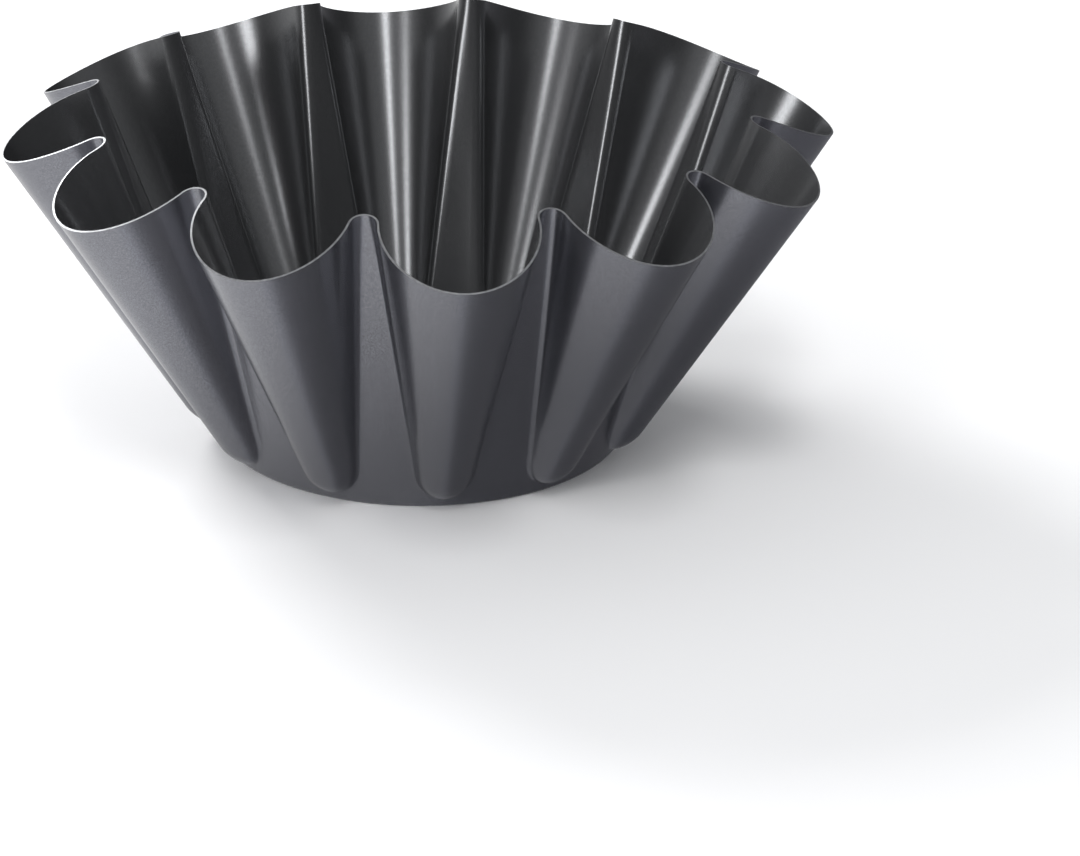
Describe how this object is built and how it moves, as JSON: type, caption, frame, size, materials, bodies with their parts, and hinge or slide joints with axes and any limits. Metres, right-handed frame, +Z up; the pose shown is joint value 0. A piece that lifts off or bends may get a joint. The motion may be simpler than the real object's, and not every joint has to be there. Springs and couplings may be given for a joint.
{
  "type": "fluted brioche mould",
  "caption": "Deep flared brioche mould of coated sheet steel with a round flat base, tall rounded flutes and a scalloped rim, open at the top for dough.",
  "frame": {"origin": "centre of the underside of the flat base", "axes": "+Z up through the open mouth, +X through the crest of a flute"},
  "size_m": [0.22, 0.22, 0.0928],
  "materials": {
    "coated_steel": "satin anthracite coating with a fine metallic sparkle on sheet steel, bright cut edge at the rim",
    "nonstick_coat": "smooth dark grey non-stick coating, half gloss"
  },
  "bodies": {
    "root": {"steel_shell": "coated_steel", "nonstick_lining": "nonstick_coat"}
  },
  "joints": []
}
